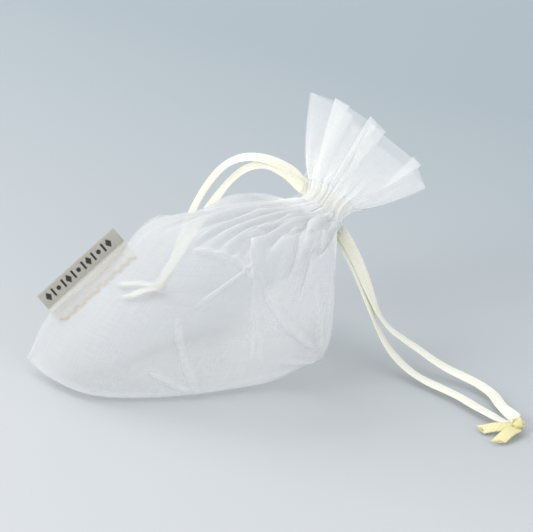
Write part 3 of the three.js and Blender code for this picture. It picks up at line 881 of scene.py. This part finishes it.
left_seam = side_seam("left_seam", 0, ("left_side_seam", "ruffle_left_seam"))
right_seam = side_seam("right_seam", HALF, ("right_side_seam", "ruffle_right_seam"))
behind = -FRONT_COLUMNS % TUBE_COLUMNS
bottom_line = TUBE[FRONT_COLUMNS, 0]
bottom_inner = (TUBE[FRONT_COLUMNS, SEAM_REACH] + TUBE[behind, SEAM_REACH]) / 2
bottom_seam = seam_object("bottom_hem", bottom_line, bottom_inner - bottom_line, ["bottom_seam"],
                          HEM_WIDTH, "pouch")

THREAD_AROUND = np.arange(6) * 0.2
STITCH_PITCH, STITCH_RADIUS = 2.2, 0.14
STITCH_SHARE = 0.7  # of the pitch that the thread shows
STITCH_BOW = np.array([-0.1, 0.14, 0.2, 0.14, -0.1])  # height of the thread along one stitch


def round_thread(path, radius, run):
    """Vertices, faces and uv of a round thread."""
    tangent = unit(np.gradient(path, axis=0))
    guide = np.where(np.abs(tangent[:, 2:3]) > 0.9, [[1.0, 0, 0]], [[0, 0, 1.0]])
    across = unit(np.cross(tangent, guide))
    turn = np.linspace(0, 2 * np.pi, len(THREAD_AROUND), endpoint=False)
    section = np.stack([np.cos(turn), np.sin(turn)], -1) * radius
    vertices, faces = swept(path, across, np.cross(tangent, across), section)
    return vertices, faces, unrolled(run, THREAD_AROUND)


def stitches(name, line, outward):
    """A row of separate stitches lying on a line."""
    run = run_along(line)
    parts = []
    for k in range(int(run[-1] / STITCH_PITCH)):
        along = np.linspace(-STITCH_SHARE / 2, STITCH_SHARE / 2, len(STITCH_BOW))
        at = (k + 0.5 + along) * STITCH_PITCH
        path = sampled(at, run, line) + sampled(at, run, outward) * STITCH_BOW[:, None]
        parts.append(round_thread(path, STITCH_RADIUS, at))
    return joined(name, parts, WHITE_THREAD)


for name, along in (("casing_stitch_lower", -3.9), ("casing_stitch_upper", 3.5)):
    row = int(round((GATHER_HEIGHT + along) / CLOTH_HEIGHT * (TUBE_ROWS - 1)))
    line = TUBE[:, row].astype(float)
    outward = unit(line - (NECK + MOUTH * along))
    stands_for(stitches(f"{name}_thread", line, outward), [name], "pouch")

# ---- ribbons
RIBBON_WIDTH = 3.5
RIBBON_THICKNESS = 0.32
# routes from the drawstring channel to the knots
RIGHT_A = [
    (3.6, 41.4, 30.8), (5.4, 35.2, 31.4), (7.9, 28.3, 29.6), (11.1, 21.6, 25), (14.1, 15.4, 19.2),
    (16.4, 11.9, 14.6), (19.6, 10, 10.8), (23.6, 8.2, 8.2), (28, 5.4, 6), (32, 1.4, 4.4), (36.2, -3, 3.3),
    (40.8, -7.6, 2.6), (45.2, -13, 2.1), (48.6, -20, 1.9), (50.6, -28, 1.9), (53.2, -36, 2.1),
    (55.3, -42.6, 2.7),
]
RIGHT_B = [
    (3.6, 40.6, 28.9), (5.2, 34.4, 29.9), (7.5, 27.4, 28.3), (10.7, 20.2, 23.5), (13.4, 13.4, 17.5),
    (15.2, 9.8, 13.2), (17.2, 7.2, 9.6), (19.6, 4.4, 6.4), (22.6, 1, 3.9), (26, -3.6, 2.4),
    (30.4, -9.8, 1.9), (35, -15.8, 1.8), (39.4, -22, 1.8), (43.4, -29, 1.8), (47.2, -35.4, 1.9),
    (50.6, -41, 2), (53, -44.1, 2.4),
]
LEFT_A = [
    (-5.4, 48.4, 41.2), (-8, 49.4, 43.8), (-11, 50.2, 45.6), (-14.6, 51.4, 46.8), (-18.8, 53, 47.2),
    (-22.8, 54.4, 46.4), (-26.2, 56, 44.4), (-29.2, 57.8, 41.2), (-31.9, 59.4, 37.2), (-34.5, 61, 32.4),
    (-37, 62.2, 26.8), (-39.2, 63.4, 20.8), (-41, 64.6, 14.8), (-43, 65.8, 9), (-44.2, 66.8, 5.4),
]
LEFT_B = [
    (-5.6, 47, 40.3), (-8.4, 48.2, 42.7), (-11.4, 49.2, 44.6), (-15, 50.4, 45.8), (-18.8, 51.6, 45.2),
    (-22.4, 52.6, 43.2), (-26, 53.8, 39.6), (-29.2, 55, 35), (-32.4, 56.2, 29.8), (-35.6, 57.4, 24.4),
    (-38.8, 58.8, 18.8), (-41.8, 60.4, 13.2), (-44.2, 62.6, 8.8), (-45.8, 66.2, 4.8),
]
RIGHT_KNOT = np.array([55.4, -45.6, 2.7])
LEFT_KNOT = np.array([-45.6, 68.8, 2.9])


RIBBON_AROUND = np.array([0, 0.1, 0.3, 3.2, 3.5, 3.6, 3.9, 6.8])
EDGE_FLAT, EDGE_CORNER = 0.4, 0.85  # the ribbon's rounded edge, as shares of half its thickness and width


def ribbon(name, path, facing, width, material, thickness=RIBBON_THICKNESS):
    """A flat ribbon. facing holds the direction of its face at each point of the path."""
    tangent = unit(np.gradient(path, axis=0))
    facing = square_to(facing, tangent)
    h, t = width / 2, thickness / 2
    edge, corner = t * EDGE_FLAT, h * EDGE_CORNER
    section = np.array([
        (-h, -edge), (-h, edge), (-corner, t), (corner, t),
        (h, edge), (h, -edge), (corner, -t), (-corner, -t),
    ])
    vertices, faces = swept(path, np.cross(tangent, facing), facing, section)
    uv = unrolled(run_along(path), RIBBON_AROUND)[:, ::-1]
    return mesh_object(name, vertices, faces, uv, material)


KNOT_REACH = (0.56, 0.5, 0.7)  # millimetres to a unit of the trefoil
KNOT_POINTS, KNOT_WIDTH, KNOT_THICKNESS = 120, 2.7, 0.5


def knot(side, centre, axis, material):
    """A tight overhand knot: a flat ribbon wound along a trefoil."""
    turn = np.linspace(0, 2 * np.pi, KNOT_POINTS)
    x = np.sin(turn) + 1.5 * np.sin(2 * turn)
    y = np.cos(turn) - 1.5 * np.cos(2 * turn)
    z = -1.3 * np.sin(3 * turn)
    along = unit(axis)
    across = unit(np.cross(along, [0, 0, 1.0]))
    up = np.cross(across, along)
    local = np.stack([x, y, z], -1) * KNOT_REACH
    path = centre + local[:, 0:1] * along + local[:, 1:2] * across + local[:, 2:3] * up
    obj = ribbon(f"{side}_knot_tied", path, unit(path - centre), KNOT_WIDTH, material, KNOT_THICKNESS)
    return stands_for(obj, [f"{side}_knot"], f"{side}_ribbon")


TAIL_POINTS = 14
TAIL_RISE = np.array([0, 0, 0.5])  # of a tail's middle
TAIL_SLANT = 0.7  # slope of the cut


def tail(side, which, letter, start, end, facing, width, material):
    """A free ribbon end, cut on the slant."""
    start, end = np.array(start, float), np.array(end, float)
    path = spline([start, (start + end) / 2 + TAIL_RISE, end], TAIL_POINTS)
    tangent = unit(end - start)
    face = square_to(np.array(facing, float), tangent)
    obj = ribbon(f"{side}_tail_{which}", path, np.repeat(face[None], TAIL_POINTS, 0), width, material)
    across = np.cross(tangent, face)
    for vertex in obj.data.vertices[-len(RIBBON_AROUND):]:
        offset = np.array(vertex.co) - place(end)
        vertex.co = Vector(np.array(vertex.co) + tangent * (offset @ across) * TAIL_SLANT)
    return stands_for(obj, [f"{side}_tail_{letter}"], f"{side}_ribbon")


STRAND_POINTS = 170


def length_of(path):
    return float(np.linalg.norm(np.diff(path, axis=0), axis=1).sum())


def strand(name, inner, points, hints, body, node):
    """A free run of ribbon. inner is its hidden end, which lies in the channel.
    Its face turns smoothly through hints, (share, direction) pairs from the channel to the knot."""
    path = spline([neck_point(*p) for p in inner] + points, STRAND_POINTS)
    whole = length_of(path)
    exit_at = np.linalg.norm(path - np.array(points[0]), axis=1).argmin()
    hidden = length_of(path[: exit_at + 1]) / whole
    share = np.clip((np.linspace(0, 1, len(path)) - hidden) / (1 - hidden), 0, 1)
    shares, directions = (np.array(values, float) for values in zip(*hints))
    obj = ribbon(name, path, unit(sampled(share, shares, directions)), RIBBON_WIDTH, SATIN)
    stands_for(obj, [node], body)


right_pieces = [knot("right", RIGHT_KNOT, (0.52, -0.854, 0), SATIN_DEEP)]
left_pieces = [knot("left", LEFT_KNOT, (-0.9, 0.434, 0), SATIN)]
right_pieces += [
    tail("right", "upper", "a", (53.8, -46.4, 1.9), (44.9, -46, 1.0), (0.1, -0.3, 1), 4.2, SATIN_DEEP),
    tail("right", "lower", "b", (55.0, -47.2, 1.9), (49.7, -55.6, 0.9), (0.3, 0.1, 1), 3.8, SATIN_DEEP),
]
left_pieces += [
    tail("left", "upper", "a", (-46.8, 70.0, 2.0), (-58, 73.8, 1.0), (0, 0, 1), 3.4, SATIN),
    tail("left", "lower", "b", (-46.6, 67.9, 2.0), (-55.6, 62.5, 1.0), (0, 0, 1), 3.4, SATIN),
]

RIGHT_A_FACING = [
    (0, (0.0, -0.9, 0.4)), (0.15, (0.05, -0.88, 0.45)), (0.24, (0.4, -0.7, 0.5)), (0.36, (0.93, -0.22, 0.28)),
    (0.48, (0.5, -0.3, 0.82)), (0.65, (0.1, -0.3, 0.95)), (0.88, (0, -0.2, 0.98)), (1, (-0.75, -0.3, 0.5)),
]
RIGHT_B_FACING = [
    (0, (0.0, -0.9, 0.4)), (0.15, (0.1, -0.86, 0.45)), (0.24, (0.5, -0.65, 0.5)), (0.36, (0.93, -0.25, 0.3)),
    (0.48, (0.5, -0.3, 0.82)), (0.65, (0.1, -0.25, 0.95)), (0.88, (-0.1, 0.2, 0.97)), (1, (0, 0.3, 0.95)),
]
LEFT_A_FACING = [
    (0, (0.1, -0.7, 0.7)), (0.12, (0.15, -0.55, 0.8)), (0.24, (0.1, -0.4, 0.9)), (0.36, (-0.3, -0.4, 0.85)),
    (0.5, (-0.85, -0.4, 0.4)), (0.75, (-0.9, -0.45, 0.1)), (1, (-0.6, -0.6, 0.5)),
]
LEFT_B_FACING = [
    (0, (0.1, -0.75, 0.65)), (0.12, (0.15, -0.6, 0.75)), (0.26, (0.0, -0.35, 0.92)), (0.4, (-0.4, -0.4, 0.8)),
    (0.55, (-0.7, -0.6, 0.4)), (0.75, (-0.8, -0.55, 0.15)), (1, (-0.6, -0.6, 0.5)),
]
strand("right_strand_front", [(0.3, -5.0, 0.8), (2.6, -2.4, -1.0)], RIGHT_A, RIGHT_A_FACING,
       "right_ribbon", "right_ribbon_strand_a")
strand("right_strand_back", [(0.6, -4.6, -1.6), (3.2, -2.0, -3.4)], RIGHT_B, RIGHT_B_FACING,
       "right_ribbon", "right_ribbon_strand_b")
strand("left_strand_front", [(4.4, 2.2, 2.2), (0, 1.1, 2.3), (-6.0, 0, 2.4)], LEFT_A, LEFT_A_FACING,
       "left_ribbon", "left_ribbon_strand_a")
strand("left_strand_back", [(4.0, 3.0, 1.5), (0, 1.7, 1.1), (-6.0, 0, 0.6)], LEFT_B, LEFT_B_FACING,
       "left_ribbon", "left_ribbon_strand_b")

LOOP_GAP = 0.25  # radians left open on either side of where the strands go out
LOOP_POINTS, LOOP_RADIUS, LOOP_WIDTH = 180, 3.3, 3.0


def gathered_ribbon(name, along, opening, node):
    """The run of a ribbon inside the channel: a rumpled band that leaves a gap where its strands go out."""
    turn = np.linspace(LOOP_GAP, 2 * np.pi - LOOP_GAP, LOOP_POINTS) + opening
    radius = LOOP_RADIUS + 0.3 * np.sin(9 * turn) + 0.2 * np.sin(5 * turn + 1)
    lift = along + 0.35 * np.sin(3 * turn)
    path = neck_point(radius * np.cos(turn), radius * np.sin(turn), lift)
    obj = ribbon(name, path, unit(path - NECK - MOUTH * along), LOOP_WIDTH, SATIN)
    stands_for(obj, [node], "pouch")


gathered_ribbon("right_ribbon_gathered", -1.9, 0.0, "right_ribbon_loop")
gathered_ribbon("left_ribbon_gathered", 1.9, np.pi, "left_ribbon_loop")

# ---- label
LABEL_START = np.array([-76.7, 12.3, 14.9])
LABEL_END = np.array([-55.2, 21.4, 32.2])
LABEL_LENGTH = float(np.linalg.norm(LABEL_END - LABEL_START))
LABEL_ALONG = unit(LABEL_END - LABEL_START)
ROUGHLY_OUT = np.array([-0.5, 0.1, 0.86])
LABEL_OUT = unit(ROUGHLY_OUT - LABEL_ALONG * (ROUGHLY_OUT @ LABEL_ALONG))
LABEL_FACE = np.cross(LABEL_ALONG, LABEL_OUT)
LABEL_EDGE = 5.9  # from the seam to the fold
LABEL_BOW, BOW_OUTWARD = 0.25, 0.4
TAPE_STEPS = 40
FOLD_RADIUS = 0.34


def label_point(along, out, face):
    """along and out in millimetres from the tape's lower end on the seam, face towards the front."""
    along, out, face = (np.asarray(v, float)[..., None] for v in (along, out, face))
    bow = LABEL_BOW * np.sin(np.pi * along / LABEL_LENGTH)
    out, face = out + bow * BOW_OUTWARD, face + bow
    return LABEL_START + along * LABEL_ALONG + out * LABEL_OUT + face * LABEL_FACE


def tape_piece(name, outline, node, body, material):
    """A tape section of (out, face) points, swept along the tape's length."""
    outline = np.array(outline)
    k = len(outline)
    at = np.linspace(0, LABEL_LENGTH, TAPE_STEPS)
    grid = label_point(at[:, None] * np.ones(k), outline[None, :, 0], outline[None, :, 1])
    uv = unrolled(at, run_along(outline))
    obj = mesh_object(name, grid.reshape(-1, 3), swept_faces(TAPE_STEPS, k), uv, material, smooth=False)
    stands_for(obj, [node], body)


half_turn = np.linspace(0, math.pi, 7)
fold = [(LABEL_EDGE + FOLD_RADIUS * math.sin(a), FOLD_RADIUS * math.cos(a)) for a in half_turn]
fold = [(1.2, 0.3), (3, 0.42)] + fold + [(3, -0.42), (1.2, -0.3)]
sewn = [(-5.2, 0.16), (-3.2, 0.2), (0.9, 0.2), (0.9, -0.2), (-3.2, -0.2), (-5.2, -0.16)]
tape_piece("label_fold_tape", fold, "label_flap", "label", TAPE)
tape_piece("label_sewn_tape", sewn, "label_inner", "pouch", SEWN_TAPE)

# a generic woven motif: diamonds, bars and dots
MOTIF_PITCH = 1.9
MOTIF_START, MOTIF_END, MOTIF_MIDDLE = 2.4, 3.0, 3.9
MOTIF_FRONT, MOTIF_BACK = 0.46, 0.3  # its two faces, from the tape's middle
turn = np.linspace(0, 2 * np.pi, 9)[:-1]
DIAMOND = np.array([(1, 0), (0, 1), (-1, 0), (0, -1)]) * (0.95, 1.4)
BAR = np.array([(1, -1), (1, 1), (-1, 1), (-1, -1)]) * (0.3, 1.3)
DOT = np.stack([np.cos(turn), np.sin(turn)], -1) * 0.7
FIGURES = [DIAMOND, BAR, DOT, BAR]

parts = []
for k in range(int((LABEL_LENGTH - MOTIF_END) / MOTIF_PITCH)):
    outline = FIGURES[k % len(FIGURES)] + (MOTIF_START + k * MOTIF_PITCH, MOTIF_MIDDLE)
    count = len(outline)
    both = np.concatenate([outline, outline])
    vertices = label_point(both[:, 0], both[:, 1], np.repeat([MOTIF_FRONT, MOTIF_BACK], count))
    faces = [tuple(range(count)), tuple(reversed(range(count, 2 * count)))]
    faces += [(i, i + count, (i + 1) % count + count, (i + 1) % count) for i in range(count)]
    parts.append((vertices, faces, both))
stands_for(joined("label_motif", parts, INK, smooth=False), [], "label")

# the tan thread that sews the tape's inner half, in a wavy line
THREAD_START, THREAD_POINTS, THREAD_RADIUS = 0.6, 260, 0.22
THREAD_OUT, THREAD_FACE = -4.0, 0.45
at = np.linspace(THREAD_START, LABEL_LENGTH - THREAD_START, THREAD_POINTS)
wave = THREAD_OUT + 0.5 * np.sin(at * 2 * np.pi / 2.9) + 0.15 * np.sin(at * 1.3)
path = label_point(at, wave, np.full(THREAD_POINTS, THREAD_FACE))
zigzag = joined("label_zigzag", [round_thread(path, THREAD_RADIUS, at)], TAN_THREAD)
stands_for(zigzag, ["label_stitching"], "pouch")

# ---- cloth and side seams, with their transforms baked into their meshes
for piece in (front_cloth, back_cloth, left_seam, right_seam):
    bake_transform(piece)


# ---- floor and light
FLOOR_HALF = 3.0
# painted shade: the floor's colour darkens towards the back and towards the right, in place of the light
# falling off across it
NEAR_FLOOR_LIT, FAR_FLOOR_SHADED = (0.473, 0.49, 0.502, 1), (0.3, 0.347, 0.376, 1)
SHADE_START, SHADE_END = -0.1, 0.27  # metres back
SHADE_SLANT = 0.8  # how much of a step to the right counts as back
LIGHTS_AIM = Vector((0.0, 0.0, 0.03))
LIGHT_SIZE = 0.9
WORLD_COLOUR, WORLD_STRENGTH = (0.86, 0.885, 0.91, 1), 0.95


def floor():
    n = Nodes("floor")
    where = n.separate(n.add("NewGeometry").outputs["Position"])
    # painted shade, darker further back and further right
    depth = n.math("ADD", where["Y"], n.math("MULTIPLY", where["X"], SHADE_SLANT))
    colour = n.mix_colour(n.ramp(depth, SHADE_START, SHADE_END, 0.0, 1.0), NEAR_FLOOR_LIT, FAR_FLOOR_SHADED)
    material = n.finished(n.shader("Principled", Base_Color=colour, Roughness=0.42, Specular_IOR_Level=0.15))
    mesh = bpy.data.meshes.new("floor")
    corners = [(x * FLOOR_HALF, y * FLOOR_HALF, 0) for x, y in ((-1, -1), (1, -1), (1, 1), (-1, 1))]
    mesh.from_pydata(corners, [], [(0, 1, 2, 3)])
    mesh.materials.append(material)
    obj = bpy.data.objects.new("floor", mesh)
    bpy.context.scene.collection.objects.link(obj)


def softbox(name, where, power):
    data = bpy.data.lights.new(name, "AREA")
    data.shape = "SQUARE"
    data.size = LIGHT_SIZE
    data.energy = power
    obj = bpy.data.objects.new(name, data)
    bpy.context.scene.collection.objects.link(obj)
    obj.location = where
    obj.rotation_euler = (LIGHTS_AIM - Vector(where)).to_track_quat("-Z", "Y").to_euler()


floor()
softbox("key", (-0.9, -0.7, 0.6), 9.0)
softbox("fill", (0.8, -1.0, 0.45), 6.0)
softbox("back", (-0.5, 0.9, 0.75), 9.0)
world = bpy.data.worlds.new("studio")
world.use_nodes = True
background = world.node_tree.nodes["Background"]
background.inputs[0].default_value = WORLD_COLOUR
background.inputs[1].default_value = WORLD_STRENGTH
bpy.context.scene.world = world
bpy.context.scene.view_settings.view_transform = "Standard"
